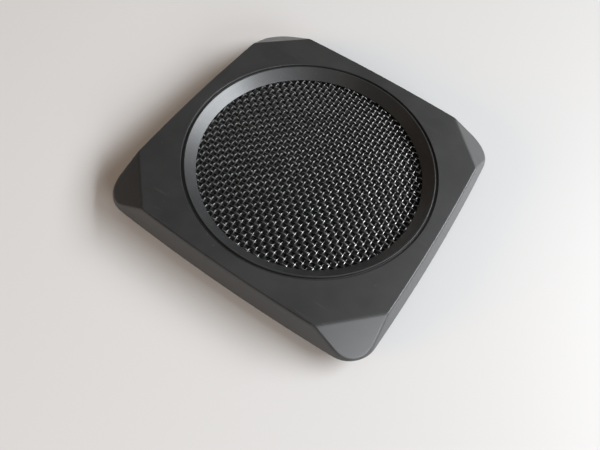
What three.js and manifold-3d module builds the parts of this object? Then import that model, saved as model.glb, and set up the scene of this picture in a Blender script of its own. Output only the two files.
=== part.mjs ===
// Slim square car tweeter: a clip-on grille cover over a mounting frame that carries a dome driver.
// Millimetres. +Z runs from the back of the driver towards the grille, and z = 0 is the yoke's back.
// The cover's rim and the frame's gasket meet the vehicle panel at z = PANEL_Z.

import * as THREE from "three";
import { mergeVertices } from "three/addons/utils/BufferGeometryUtils.js";
import Module from "manifold-3d";

const wasm = await Module();
wasm.setup();

// ---------------------------------------------------------------- driving dimensions

const PANEL_Z = 5;
const COVER_HEIGHT = 7.45;
const TOP_Z = PANEL_Z + COVER_HEIGHT;

// Cover outline: a square with bowed sides, drafted outwards towards the panel.
const TOP_HALF = 49;
const DRAFT = 2.65;
const RIM_HALF = TOP_HALF + DRAFT;
const SIDE_RADIUS = 706;
const CORNER_RADIUS = 10;
const EDGE_DROP = 0.5;
const EDGE_INSET = 0.35;
const WALL = 1.8;
const PLATE = 2;

// Corner facets, measured along the diagonal.
const FACET_START = 56.8;
const FACET_SLOPE = THREE.MathUtils.degToRad(34);

// Grille recess: a 45 degree funnel inside a ring groove.
const OPENING_R = 39.3;
const SEAT_Z = 8.9;
const GROOVE_R = 43.45;
const GROOVE_HALF = 0.62;
const GROOVE_DEPTH = 0.65;
const GROOVE_FLOOR = 0.31;
const LIP_DROP = 0.3;
const FUNNEL_TOP_R = OPENING_R + TOP_Z - SEAT_Z - LIP_DROP;
const COLLAR_R = 42.2;
const COLLAR_WALL = 1.2;
const COLLAR_Z = 7.7;

// Grille layers, from the funnel's seat down.
const LAYER_R = 41.8;
const MESH_BOTTOM_Z = 7.86;
const MESH_TOP_Z = 8.82;
const CLOTH_BOTTOM_Z = 7.58;
const CLOTH_TOP_Z = 7.78;
const RING_TOP_Z = 7.5;
const RING_THICK = 0.7;
const RING_INNER_R = 39.7;
const RING_SCREW_D = 47.5;
const TAB_HALF = 3;
const BOSS_R = 2.5;

// Clip posts, one in the middle of each side.
const POST_R = 45.9;
const POST_HALF = 0.6;
const POST_WIDTH = 5;
const POST_END_Z = 5.9;
const CLIP_WIDTH = 4;
const CLIP_SHEET = 0.3;
const CLIP_GAP = 0.08;
const CLIP_BULGE = 0.38;
const CLIP_CROWN_DROP = 0.5;
const CLIP_BOW = 1.1;
const SLOT_HALF = 1.45;
const SLOT_WIDTH = 6.4;
const BRIDGE_HALF = 2;
const BRIDGE_WIDTH = 8.8;
const BRIDGE_TOP_Z = 8.8;

// Mounting frame: a flat flange around a shallow basin.
const FLANGE_BACK_Z = 5.5;
const FLANGE_TOP_Z = 6.6;
const FLANGE_HALF = 47.9;
const FLANGE_CORNER_D = 60.5;
const PANEL_HOLE_D = 55.5;
const PANEL_HOLE_R = 2;
const PANEL_PAD_R = 4;
const HEAD_ROOM_R = 3.75;
const BASIN_R = 37.7;
const BASIN_WALL = 1.2;
const BASIN_CHAMFER = 0.5;
const FLOOR_BACK_Z = 2.2;
const FLOOR_TOP_Z = 3.4;
const FLOOR_HOLE_R = 15.2;
const RIB_ANGLES = [0, 30, 60, 120, 150, 180, 240, 300];
const RIB_START_R = 16.2;
const RIB_END_R = 35.7;
const RIB_WIDTH = 1;
const RIB_BACK_Z = 1.2;
const RIB_TOP_Z = 2.4;
const GASKET_INNER_R = 38.3;
const GASKET_OUTER_R = 43.2;
const GASKET_TOP_Z = 5.4;

// Screws: self-tapping, with a pan head.
const SCREW_HEAD_R = 1.9;
const SCREW_HEAD_HEIGHT = 0.8;
const SCREW_CORE_R = 0.85;
const SCREW_TIP = 0.5;
const PILOT_R = 0.95;
const CLEARANCE_R = 1.15;
const RING_SCREW_LENGTH = 3.7;
const DRIVER_SCREW_LENGTH = 3.3;

// Dome driver.
const YOKE_R = 13.2;
const YOKE_BASE = 1.2;
const YOKE_CHAMFER = 0.4;
const YOKE_TOP_Z = 3.9;
const GAP_OUTER_R = 11;
const POLE_R = 9.75;
const MAGNET_R = 9.2;
const MAGNET_TOP_Z = 2.7;
const FELT_R = 8;
const FELT_THICK = 0.75;
const FACEPLATE_R = 27.5;
const FACEPLATE_RIM_Z = 6.1;
const FACEPLATE_RIM_WIDTH = 1.7;
const HUB_TOP_Z = 4.6;
const HUB_BOTTOM_Z = 2.3;
const HUB_WALL = 1.25;
const HUB_BORE_R = 11.4;
const FLARE_START_Z = 4.8;
const POCKET_R = 2.3;
const DOME_R = 10.25;
const DOME_BASE_Z = 4.7;
const DOME_HEIGHT = 2.2;
const SKIN = 0.25;
const ROLL_R = 1.15;
const ROLL_GAP = 0.2;
const FORMER = { inner: 9.95, outer: 10.12, low: 2.3 };
const COIL = { inner: 10.17, outer: 10.65, low: 2.5, high: 4.1 };
const DRIVER_SCREW_R = 23.6;
const DRIVER_SCREW_ANGLES = [90, 210, 330];
const DRIVER_BOSS_R = 2.4;
const DRIVER_BOSS_Z = 0.9;

// Terminals, on the -Y side.
const BOARD_Y = -28.25;
const BOARD_SIZE = [18, 7.5];
const BOARD_BACK_Z = 1.15;
const BOARD_TOP_Z = 2.1;
const STAKE_X = 7.7;
const STAKE_R = 0.7;
const STAKE_HEAD_R = 1.3;
const STAKE_HEAD = 0.5;
const STAKE_HOLE_R = 0.85;
const BLADE_X = 4.5;
const BLADE_WIDTH = 2.8;
const BLADE_BACK_Z = 0.55;
const BLADE_SHEET = 0.5;
const BLADE_TIP_Y = -37.5;
const TAIL_Y = -30.2;
const TAIL_TOP_Z = 4.8;
const TAIL_WIDTH = 1.4;
const TAIL_SLOT = [13, 2.2];
const RIVET_Y = -26.6;
const RIVET_R = 0.6;
const RIVET_HEAD_R = 1.2;
const RIVET_HOLE_R = 0.7;
const TAG_Y = -26.7;
const TAG_Z = 4.65;
const TAG_SIZE = [2.2, 2.6, 0.3];
const TAG_NOTCH = [14, 5];
const CAPACITOR_SIZE = [5, 8.6, 2.7];
const CAPACITOR_R = 31.9;
const CAPACITOR_ANGLE = 312;
const CAPACITOR_LEG_OFFSET = 1.3;
const LEG_RUN = 1.8;
const LEG_GAP = 0.1;
const LEAD_R = 0.4;
const CAPACITOR_LEAD_R = 0.3;

// Small parts fixed to a neighbour keep this distance from it.
const FIT = 0.05;

const CAPACITOR_Z = FLOOR_TOP_Z + FIT + CAPACITOR_SIZE[2] / 2;

// Joined solids run into each other by this much.
const OVERLAP = 0.5;

const ORIGIN = new THREE.Vector2(0, 0);

// ---------------------------------------------------------------- materials

function material(color, roughness, metalness = 0) {
  return new THREE.MeshStandardMaterial({ color, roughness, metalness });
}

const bezelPlastic = material(0x3b3d3b, 0.5);
const framePlastic = material(0x1d1d1e, 0.6);
const meshWire = material(0x2a2826, 0.35, 0.9);
const blackCloth = material(0x0d0d0d, 0.95);
const zincSteel = material(0xb4b6b8, 0.35, 1);
const blackSteel = material(0x232325, 0.4, 0.9);
const springSteel = material(0x8f9296, 0.3, 1);
const blackFoam = material(0x171717, 0.95);
const nickelMagnet = material(0xc9c9c6, 0.2, 1);
const blackFelt = material(0x222220, 1);
const silkDome = material(0x18181a, 0.7);
const rubberRoll = material(0x141414, 0.75);
const kaptonFormer = material(0xa8702a, 0.4);
const copperWire = material(0xb86b3a, 0.3, 1);
const boardFibre = material(0x8a5a2c, 0.65);
const tinnedBrass = material(0xc8c4b4, 0.3, 1);
const capacitorCase = material(0xa8842a, 0.4);
const redInsulation = material(0x9c1a16, 0.5);
const blackInsulation = material(0x161616, 0.5);

// ---------------------------------------------------------------- shape helpers

// A closed geometry as a solid: shared corners are joined and empty triangles dropped.
function solid(geometry) {
  const bare = new THREE.BufferGeometry();
  bare.setAttribute("position", geometry.getAttribute("position"));
  bare.setIndex(geometry.index);
  const merged = mergeVertices(bare, 1e-4);
  const corners = merged.index.array;
  const kept = [];
  for (let i = 0; i < corners.length; i += 3) {
    const [a, b, c] = corners.subarray(i, i + 3);
    if (a !== b && b !== c && c !== a) kept.push(a, b, c);
  }
  const vertProperties = new Float32Array(merged.getAttribute("position").array);
  const triVerts = Uint32Array.from(kept);
  return new wasm.Manifold(new wasm.Mesh({ numProp: 3, vertProperties, triVerts }));
}

function meshOf(name, body, look) {
  const cut = body.getMesh();
  const geometry = new THREE.BufferGeometry();
  geometry.setAttribute("position", new THREE.BufferAttribute(cut.vertProperties, 3));
  geometry.setIndex(new THREE.BufferAttribute(cut.triVerts, 1));
  geometry.computeVertexNormals();
  const mesh = new THREE.Mesh(geometry, look);
  mesh.name = name;
  return mesh;
}

// A profile of [radius, z] corners, listed anticlockwise, turned about +Z.
function turned(profile, segments = 48) {
  const points = profile.map(([r, z]) => new THREE.Vector2(r, z));
  points.push(points[0].clone());
  return new THREE.LatheGeometry(points, segments).rotateX(Math.PI / 2);
}

function cylinder(radius, low, high, segments = 16) {
  return turned([[0, low], [radius, low], [radius, high], [0, high]], segments);
}

function ring(inner, outer, low, high, segments = 48) {
  return turned([[inner, low], [outer, low], [outer, high], [inner, high]], segments);
}

function box(size, centre) {
  return new THREE.BoxGeometry(...size).translate(...centre);
}

function prism(shape, low, high, curveSegments = 12) {
  const geometry = new THREE.ExtrudeGeometry(shape, { depth: high - low, bevelEnabled: false, curveSegments });
  return geometry.translate(0, 0, low);
}

// A round wire along a smooth curve through the given points.
function wire(points, radius, steps = 14) {
  const path = new THREE.CatmullRomCurve3(points.map((p) => new THREE.Vector3(...p)));
  const section = new THREE.Shape().absarc(0, 0, radius, 0, 2 * Math.PI);
  return new THREE.ExtrudeGeometry(section, { steps, curveSegments: 4, extrudePath: path });
}

function onDiagonal(distance, k) {
  const angle = Math.PI / 4 + (k * Math.PI) / 2;
  return [distance * Math.cos(angle), distance * Math.sin(angle)];
}

function polar(radius, degrees) {
  const angle = THREE.MathUtils.degToRad(degrees);
  return [radius * Math.cos(angle), radius * Math.sin(angle)];
}

function circleHole(x, y, radius) {
  return new THREE.Path().absarc(x, y, radius, 0, 2 * Math.PI, true);
}

const union = (parts) => parts.reduce((sum, part) => sum.add(part));

// Points of the bowed square: for each side a wide arc, then the tangent corner arc.
function bowedSquare(half, cornerRadius) {
  const sideSteps = 6;
  const cornerSteps = 9;
  const centre = SIDE_RADIUS - half;
  const reach = SIDE_RADIUS - cornerRadius;
  const corner = (Math.sqrt(2 * reach ** 2 - centre ** 2) - centre) / 2;
  const sweep = Math.atan2(corner, corner + centre);
  const points = [];
  for (let k = 0; k < 4; k++) {
    const turn = (k * Math.PI) / 2;
    const arc = (cx, cy, radius, from, to, steps) => {
      for (let i = 0; i < steps; i++) {
        const angle = from + ((to - from) * i) / steps;
        const point = new THREE.Vector2(cx + radius * Math.cos(angle), cy + radius * Math.sin(angle));
        points.push(point.rotateAround(ORIGIN, turn));
      }
    };
    arc(-centre, 0, SIDE_RADIUS, -sweep, sweep, sideSteps);
    arc(corner, corner, cornerRadius, sweep, Math.PI / 2 - sweep, cornerSteps);
  }
  return points;
}

// A closed skin through outlines with equal point counts, each [z, points], from the bottom up.
function loft(sections) {
  const count = sections[0][1].length;
  const vertices = [0, 0, sections[0][0]];
  for (const [z, points] of sections) {
    for (const p of points) vertices.push(p.x, p.y, z);
  }
  vertices.push(0, 0, sections.at(-1)[0]);
  const last = vertices.length / 3 - 1;
  const at = (row, i) => 1 + row * count + (i % count);
  const index = [];
  for (let i = 0; i < count; i++) {
    index.push(0, at(0, i + 1), at(0, i));
    for (let row = 0; row < sections.length - 1; row++) {
      index.push(at(row, i), at(row, i + 1), at(row + 1, i + 1));
      index.push(at(row, i), at(row + 1, i + 1), at(row + 1, i));
    }
    index.push(last, at(sections.length - 1, i), at(sections.length - 1, i + 1));
  }
  const geometry = new THREE.BufferGeometry();
  geometry.setAttribute("position", new THREE.Float32BufferAttribute(vertices, 3));
  geometry.setIndex(index);
  return geometry;
}

// ---------------------------------------------------------------- grille cover

// Half width of the drafted wall at a height, before the top edge is rounded.
function wallHalf(z) {
  return RIM_HALF - (DRAFT * (z - PANEL_Z)) / COVER_HEIGHT;
}

// The four wedges above the corner facets, sunk by a depth along the facet's normal.
function facetWedges(depth) {
  const wedges = [];
  for (let k = 0; k < 4; k++) {
    const block = box([90, 90, 30], [0, 0, 15 - depth]).rotateY(FACET_SLOPE);
    block.translate(FACET_START, 0, TOP_Z).rotateZ(Math.PI / 4 + (k * Math.PI) / 2);
    wedges.push(solid(block));
  }
  return union(wedges);
}

function coverShell() {
  const outline = (half) => bowedSquare(half, CORNER_RADIUS - (RIM_HALF - half));
  const edgeStart = TOP_Z - EDGE_DROP;
  const outside = loft([
    [PANEL_Z, outline(RIM_HALF)],
    [edgeStart, outline(wallHalf(edgeStart))],
    [TOP_Z - 0.3 * EDGE_DROP, outline(TOP_HALF - 0.2 * EDGE_INSET)],
    [TOP_Z, outline(TOP_HALF - EDGE_INSET)],
  ]);
  const ceiling = TOP_Z - PLATE;
  const inside = loft([
    [PANEL_Z - 1, outline(wallHalf(PANEL_Z - 1) - WALL)],
    [ceiling, outline(wallHalf(ceiling) - WALL)],
  ]);
  const cavity = solid(inside).subtract(facetWedges(WALL));
  return solid(outside).subtract(facetWedges(0)).subtract(cavity);
}

function coverBezel() {
  const ceiling = TOP_Z - PLATE;
  const collar = turned([
    [OPENING_R - 1, SEAT_Z],
    [COLLAR_R, SEAT_Z],
    [COLLAR_R, COLLAR_Z],
    [COLLAR_R + COLLAR_WALL, COLLAR_Z],
    [COLLAR_R + COLLAR_WALL, ceiling + OVERLAP],
    [OPENING_R - 1, ceiling + OVERLAP],
  ], 72);
  const funnel = turned([
    [0, PANEL_Z],
    [OPENING_R, PANEL_Z],
    [OPENING_R, SEAT_Z],
    [FUNNEL_TOP_R, TOP_Z - LIP_DROP],
    [FUNNEL_TOP_R + 0.5 * LIP_DROP, TOP_Z + 1],
    [0, TOP_Z + 1],
  ], 72);
  const groove = turned([
    [GROOVE_R - GROOVE_FLOOR, TOP_Z - GROOVE_DEPTH],
    [GROOVE_R + GROOVE_FLOOR, TOP_Z - GROOVE_DEPTH],
    [GROOVE_R + GROOVE_HALF, TOP_Z + OVERLAP],
    [GROOVE_R - GROOVE_HALF, TOP_Z + OVERLAP],
  ], 72);
  let body = coverShell().add(solid(collar)).subtract(solid(funnel)).subtract(solid(groove));
  for (let k = 0; k < 4; k++) {
    const [x, y] = onDiagonal(RING_SCREW_D, k);
    body = body.add(solid(cylinder(BOSS_R, RING_TOP_Z + FIT, ceiling + OVERLAP).translate(x, y, 0)));
    body = body.subtract(solid(cylinder(PILOT_R, RING_TOP_Z - 1, ceiling + OVERLAP, 12).translate(x, y, 0)));
    const height = ceiling + OVERLAP - POST_END_Z;
    const post = box([2 * POST_HALF, POST_WIDTH, height], [POST_R, 0, POST_END_Z + height / 2]);
    body = body.add(solid(post.rotateZ((k * Math.PI) / 2)));
  }
  return meshOf("cover_bezel", body, bezelPlastic);
}

function wireMesh() {
  return meshOf("wire_mesh", solid(cylinder(LAYER_R, MESH_BOTTOM_Z, MESH_TOP_Z, 48)), meshWire);
}

function acousticCloth() {
  return meshOf("acoustic_cloth", solid(cylinder(LAYER_R, CLOTH_BOTTOM_Z, CLOTH_TOP_Z, 48)), blackCloth);
}

// Stamped ring with four screw tabs on the diagonals.
function retainingRing() {
  const low = RING_TOP_Z - RING_THICK;
  let body = solid(cylinder(LAYER_R, low, RING_TOP_Z, 48));
  for (let k = 0; k < 4; k++) {
    const tab = new THREE.Shape();
    tab.moveTo(OPENING_R, -TAB_HALF);
    tab.lineTo(RING_SCREW_D, -TAB_HALF);
    tab.absarc(RING_SCREW_D, 0, TAB_HALF, -Math.PI / 2, Math.PI / 2);
    tab.lineTo(OPENING_R, TAB_HALF);
    tab.holes.push(circleHole(RING_SCREW_D, 0, CLEARANCE_R));
    body = body.add(solid(prism(tab, low, RING_TOP_Z).rotateZ(Math.PI / 4 + (k * Math.PI) / 2)));
  }
  body = body.subtract(solid(cylinder(RING_INNER_R, low - 1, RING_TOP_Z + 1, 48)));
  return meshOf("mesh_retaining_ring", body, blackSteel);
}

// Screw with its head's bearing face at z = 0 and its core pointing up.
function screw(length) {
  return turned([
    [0, -SCREW_HEAD_HEIGHT],
    [0.75 * SCREW_HEAD_R, -SCREW_HEAD_HEIGHT],
    [SCREW_HEAD_R, -0.5 * SCREW_HEAD_HEIGHT],
    [SCREW_HEAD_R, 0],
    [SCREW_CORE_R, 0],
    [SCREW_CORE_R, length - SCREW_TIP],
    [0.2, length],
    [0, length],
  ], 12);
}

function ringScrews() {
  const bearing = RING_TOP_Z - RING_THICK - FIT;
  return [0, 1, 2, 3].map((k) => {
    const [x, y] = onDiagonal(RING_SCREW_D, k);
    return meshOf(`ring_screw_${k + 1}`, solid(screw(RING_SCREW_LENGTH).translate(x, y, bearing)), zincSteel);
  });
}

// Bent strip over the end of a post, with a bowed leg on each face of it.
function springClips() {
  const inner = POST_HALF + CLIP_GAP;
  const outer = inner + CLIP_SHEET;
  const seat = POST_END_Z - CLIP_GAP;
  const foot = seat - CLIP_SHEET;
  const crown = BRIDGE_TOP_Z - CLIP_CROWN_DROP;
  const leg = (side) => [
    [side * outer, foot],
    [side * outer, crown - CLIP_BOW],
    [side * (outer + CLIP_BULGE), crown],
    [side * outer, crown + CLIP_BOW],
    [side * inner, crown + CLIP_BOW],
    [side * (inner + CLIP_BULGE), crown],
    [side * inner, crown - CLIP_BOW],
    [side * inner, seat],
  ];
  const outline = [...leg(1), ...leg(-1).reverse()].map(([u, z]) => new THREE.Vector2(u, z));
  return [0, 1, 2, 3].map((k) => {
    const strip = prism(new THREE.Shape(outline), -CLIP_WIDTH / 2, CLIP_WIDTH / 2);
    strip.rotateX(Math.PI / 2).translate(POST_R, 0, 0).rotateZ((k * Math.PI) / 2);
    return meshOf(`spring_clip_${k + 1}`, solid(strip), springSteel);
  });
}

// ---------------------------------------------------------------- mounting frame

// Square flange with cut corners, with room for the heads of the ring's screws.
function flangeShape() {
  const cut = FLANGE_CORNER_D * Math.SQRT2 - FLANGE_HALF;
  const shape = new THREE.Shape();
  shape.moveTo(FLANGE_HALF, -cut);
  shape.lineTo(FLANGE_HALF, cut);
  shape.lineTo(cut, FLANGE_HALF);
  shape.lineTo(-cut, FLANGE_HALF);
  shape.lineTo(-FLANGE_HALF, cut);
  shape.lineTo(-FLANGE_HALF, -cut);
  shape.lineTo(-cut, -FLANGE_HALF);
  shape.lineTo(cut, -FLANGE_HALF);
  for (let k = 0; k < 4; k++) {
    shape.holes.push(circleHole(...onDiagonal(RING_SCREW_D, k), HEAD_ROOM_R));
  }
  return shape;
}

// Pad under the flange round each hole for a panel screw, level with the gasket's face.
function addPanelPads(frame) {
  let body = frame;
  for (let k = 0; k < 4; k++) {
    const [x, y] = onDiagonal(PANEL_HOLE_D, k);
    body = body.add(solid(cylinder(PANEL_PAD_R, PANEL_Z, FLANGE_BACK_Z + OVERLAP, 24).translate(x, y, 0)));
    body = body.subtract(solid(cylinder(PANEL_HOLE_R, 0, TOP_Z, 20).translate(x, y, 0)));
  }
  return body;
}

// Raised bridge over each slot, so that the clips grip above the panel.
function addClipBridges(frame) {
  let body = frame;
  for (let k = 0; k < 4; k++) {
    const turn = (k * Math.PI) / 2;
    const height = BRIDGE_TOP_Z - FLANGE_BACK_Z;
    const bridge = box([2 * BRIDGE_HALF, BRIDGE_WIDTH, height], [POST_R, 0, FLANGE_BACK_Z + height / 2]);
    const slot = box([2 * SLOT_HALF, SLOT_WIDTH, 3 * height], [POST_R, 0, BRIDGE_TOP_Z]);
    body = body.add(solid(bridge.rotateZ(turn))).subtract(solid(slot.rotateZ(turn)));
  }
  return body;
}

function mountingFrame() {
  const basin = turned([
    [FLOOR_HOLE_R, FLOOR_BACK_Z],
    [BASIN_R - BASIN_CHAMFER, FLOOR_BACK_Z],
    [BASIN_R, FLOOR_BACK_Z + BASIN_CHAMFER],
    [BASIN_R, FLANGE_TOP_Z],
    [BASIN_R - BASIN_WALL, FLANGE_TOP_Z],
    [BASIN_R - BASIN_WALL, FLOOR_TOP_Z],
    [FLOOR_HOLE_R, FLOOR_TOP_Z],
  ], 64);
  const well = cylinder(BASIN_R - BASIN_WALL / 2, FLANGE_BACK_Z - 1, FLANGE_TOP_Z + 1, 64);
  let body = solid(prism(flangeShape(), FLANGE_BACK_Z, FLANGE_TOP_Z)).subtract(solid(well));
  body = addPanelPads(addClipBridges(body.add(solid(basin))));
  for (const angle of RIB_ANGLES) {
    const size = [RIB_END_R - RIB_START_R, RIB_WIDTH, RIB_TOP_Z - RIB_BACK_Z];
    const rib = box(size, [(RIB_START_R + RIB_END_R) / 2, 0, (RIB_BACK_Z + RIB_TOP_Z) / 2]);
    body = body.add(solid(rib.rotateZ(THREE.MathUtils.degToRad(angle))));
  }
  for (const angle of DRIVER_SCREW_ANGLES) {
    const [x, y] = polar(DRIVER_SCREW_R, angle);
    body = body.add(solid(cylinder(DRIVER_BOSS_R, DRIVER_BOSS_Z, FLOOR_BACK_Z + OVERLAP).translate(x, y, 0)));
    body = body.subtract(solid(cylinder(PILOT_R, 0, FLOOR_TOP_Z + 1, 12).translate(x, y, 0)));
  }
  body = body.subtract(solid(box([...TAIL_SLOT, 4], [0, TAIL_Y, FLOOR_BACK_Z])));
  for (const side of [-1, 1]) {
    const stake = turned([
      [0, BOARD_BACK_Z - STAKE_HEAD],
      [STAKE_HEAD_R - 0.2, BOARD_BACK_Z - STAKE_HEAD + 0.1],
      [STAKE_HEAD_R, BOARD_BACK_Z - FIT],
      [STAKE_R, BOARD_BACK_Z - FIT],
      [STAKE_R, FLOOR_BACK_Z + OVERLAP],
      [0, FLOOR_BACK_Z + OVERLAP],
    ], 12);
    body = body.add(solid(stake.translate(side * STAKE_X, BOARD_Y, 0)));
  }
  return meshOf("mounting_frame", body, framePlastic);
}

function panelGasket() {
  const body = solid(ring(GASKET_INNER_R, GASKET_OUTER_R, PANEL_Z, GASKET_TOP_Z, 48));
  return meshOf("panel_gasket", body, blackFoam);
}

// ---------------------------------------------------------------- dome driver

function yokeCup() {
  const profile = [
    [0, 0],
    [YOKE_R - YOKE_CHAMFER, 0],
    [YOKE_R, YOKE_CHAMFER],
    [YOKE_R, YOKE_TOP_Z],
    [GAP_OUTER_R, YOKE_TOP_Z],
    [GAP_OUTER_R, YOKE_BASE],
    [0, YOKE_BASE],
  ];
  return meshOf("yoke_cup", solid(turned(profile)), zincSteel);
}

function magnet() {
  return meshOf("magnet", solid(cylinder(MAGNET_R, YOKE_BASE + FIT, MAGNET_TOP_Z, 40)), nickelMagnet);
}

function polePlate() {
  return meshOf("pole_plate", solid(cylinder(POLE_R, MAGNET_TOP_Z + FIT, YOKE_TOP_Z, 40)), zincSteel);
}

function dampingPad() {
  const low = YOKE_TOP_Z + FIT;
  return meshOf("damping_pad", solid(cylinder(FELT_R, low, low + FELT_THICK, 32)), blackFelt);
}

// Moulded faceplate: it grips the yoke, carries the surround and flares into a shallow waveguide.
function driverFaceplate() {
  const seat = FLOOR_TOP_Z + FIT;
  const hubR = YOKE_R + FIT + HUB_WALL;
  const profile = [
    [HUB_BORE_R, YOKE_TOP_Z + FIT],
    [YOKE_R + FIT, YOKE_TOP_Z + FIT],
    [YOKE_R + FIT, HUB_BOTTOM_Z],
    [hubR, HUB_BOTTOM_Z],
    [hubR, seat],
    [FACEPLATE_R, seat],
    [FACEPLATE_R, FACEPLATE_RIM_Z],
    [FACEPLATE_R - FACEPLATE_RIM_WIDTH, FACEPLATE_RIM_Z],
    [hubR + 0.1, FLARE_START_Z],
    [hubR + 0.1, HUB_TOP_Z],
    [HUB_BORE_R, HUB_TOP_Z],
  ];
  let body = solid(turned(profile, 48));
  for (const angle of DRIVER_SCREW_ANGLES) {
    const [x, y] = polar(DRIVER_SCREW_R, angle);
    body = body.subtract(solid(cylinder(POCKET_R, HUB_TOP_Z, TOP_Z).translate(x, y, 0)));
    body = body.subtract(solid(cylinder(CLEARANCE_R, 0, TOP_Z, 12).translate(x, y, 0)));
  }
  const [notchWidth, notchDepth] = TAG_NOTCH;
  body = body.subtract(solid(box([notchWidth, notchDepth, 4], [0, -FACEPLATE_R, TAG_Z - FIT + 2])));
  return meshOf("driver_faceplate", body, framePlastic);
}

function driverScrews() {
  return DRIVER_SCREW_ANGLES.map((angle, i) => {
    const [x, y] = polar(DRIVER_SCREW_R, angle);
    const upright = screw(DRIVER_SCREW_LENGTH).rotateX(Math.PI).translate(x, y, HUB_TOP_Z + FIT);
    return meshOf(`driver_screw_${i + 1}`, solid(upright), zincSteel);
  });
}

// Height of the dome's outer skin above its base at a radius.
function domeRise(radius, height) {
  const sphere = (DOME_R ** 2 + height ** 2) / (2 * height);
  return Math.sqrt(sphere ** 2 - radius ** 2) - (sphere - height);
}

function domeDiaphragm() {
  const steps = 6;
  const outside = [];
  const inside = [];
  for (let i = 0; i <= steps; i++) {
    const radius = DOME_R * (1 - i / steps);
    outside.push([radius, DOME_BASE_Z + SKIN + domeRise(radius, DOME_HEIGHT - SKIN)]);
    inside.push([radius * 0.985, DOME_BASE_Z + domeRise(radius, DOME_HEIGHT - SKIN)]);
  }
  return meshOf("dome_diaphragm", solid(turned([...inside.reverse(), ...outside], 32)), silkDome);
}

// Half-roll surround with a flat outer hem glued to the faceplate.
function surround() {
  const centre = DOME_R + ROLL_GAP + ROLL_R + SKIN;
  const base = HUB_TOP_Z + FIT;
  const steps = 5;
  const over = [];
  const under = [];
  for (let i = 0; i <= steps; i++) {
    const angle = (Math.PI * i) / steps;
    over.push([centre + (ROLL_R + SKIN) * Math.cos(angle), base + (ROLL_R + SKIN) * Math.sin(angle)]);
    under.push([centre + ROLL_R * Math.cos(angle), base + ROLL_R * Math.sin(angle)]);
  }
  const hemR = YOKE_R + HUB_WALL + FIT;
  const hem = [[hemR, base], [hemR, base + SKIN], [centre + ROLL_R + SKIN, base + SKIN]];
  return meshOf("surround", solid(turned([...under.reverse(), ...hem, ...over.slice(1)], 32)), rubberRoll);
}

function coilFormer() {
  const body = solid(ring(FORMER.inner, FORMER.outer, FORMER.low, DOME_BASE_Z - FIT, 40));
  return meshOf("coil_former", body, kaptonFormer);
}

function voiceCoil() {
  const body = solid(ring(COIL.inner, COIL.outer, COIL.low, COIL.high, 40));
  return meshOf("voice_coil", body, copperWire);
}

// ---------------------------------------------------------------- terminals and wiring

function terminalBoard() {
  const [width, depth] = BOARD_SIZE;
  const size = [width, depth, BOARD_TOP_Z - BOARD_BACK_Z];
  let body = solid(box(size, [0, BOARD_Y, (BOARD_TOP_Z + BOARD_BACK_Z) / 2]));
  for (const side of [-1, 1]) {
    body = body.subtract(solid(cylinder(STAKE_HOLE_R, 0, 4, 12).translate(side * STAKE_X, BOARD_Y, 0)));
    body = body.subtract(solid(cylinder(RIVET_HOLE_R, 0, 4, 12).translate(side * BLADE_X, RIVET_Y, 0)));
    body = body.subtract(solid(box([TAIL_WIDTH + 0.4, BLADE_SHEET + 0.6, 4], [side * BLADE_X, TAIL_Y, 2])));
  }
  return meshOf("terminal_board", body, boardFibre);
}

// Flat blade under the board, with a narrow tail that rises through it and the frame's slot.
function terminal(name, x) {
  const thick = BLADE_SHEET;
  const length = RIVET_Y + 1.5 - BLADE_TIP_Y;
  const flat = box([BLADE_WIDTH, length, thick], [x, BLADE_TIP_Y + length / 2, BLADE_BACK_Z + thick / 2]);
  const rise = TAIL_TOP_Z - BLADE_BACK_Z;
  const tail = box([TAIL_WIDTH, thick, rise], [x, TAIL_Y, BLADE_BACK_Z + rise / 2]);
  const hole = cylinder(RIVET_HOLE_R, 0, 2, 12).translate(x, RIVET_Y, 0);
  return meshOf(name, solid(flat).add(solid(tail)).subtract(solid(hole)), tinnedBrass);
}

function rivet(name, x) {
  const profile = [
    [0, 0.2],
    [0.75 * RIVET_HEAD_R, 0.25],
    [RIVET_HEAD_R, BLADE_BACK_Z - FIT],
    [RIVET_R, BLADE_BACK_Z - FIT],
    [RIVET_R, BOARD_TOP_Z + 0.03],
    [0, BOARD_TOP_Z + 0.03],
  ];
  return meshOf(name, solid(turned(profile, 16).translate(x, RIVET_Y, 0)), tinnedBrass);
}

// Solder tag on the faceplate, where a lead of the voice coil ends.
function coilTag(name, x) {
  return meshOf(name, solid(box(TAG_SIZE, [x, TAG_Y, TAG_Z + TAG_SIZE[2] / 2])), tinnedBrass);
}

function seriesCapacitor() {
  const [x, y] = polar(CAPACITOR_R, CAPACITOR_ANGLE);
  const body = box(CAPACITOR_SIZE, [0, 0, 0]).rotateZ(THREE.MathUtils.degToRad(CAPACITOR_ANGLE));
  return meshOf("series_capacitor", solid(body.translate(x, y, CAPACITOR_Z)), capacitorCase);
}

// Point at some distance in front of the capacitor's near end, to one side of its middle.
function beforeCapacitor(side, distance) {
  const turn = THREE.MathUtils.degToRad(CAPACITOR_ANGLE);
  const [x, y] = polar(CAPACITOR_R + side * CAPACITOR_LEG_OFFSET, CAPACITOR_ANGLE);
  const back = CAPACITOR_SIZE[1] / 2 + distance;
  return [x + back * Math.sin(turn), y - back * Math.cos(turn), CAPACITOR_Z];
}

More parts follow.
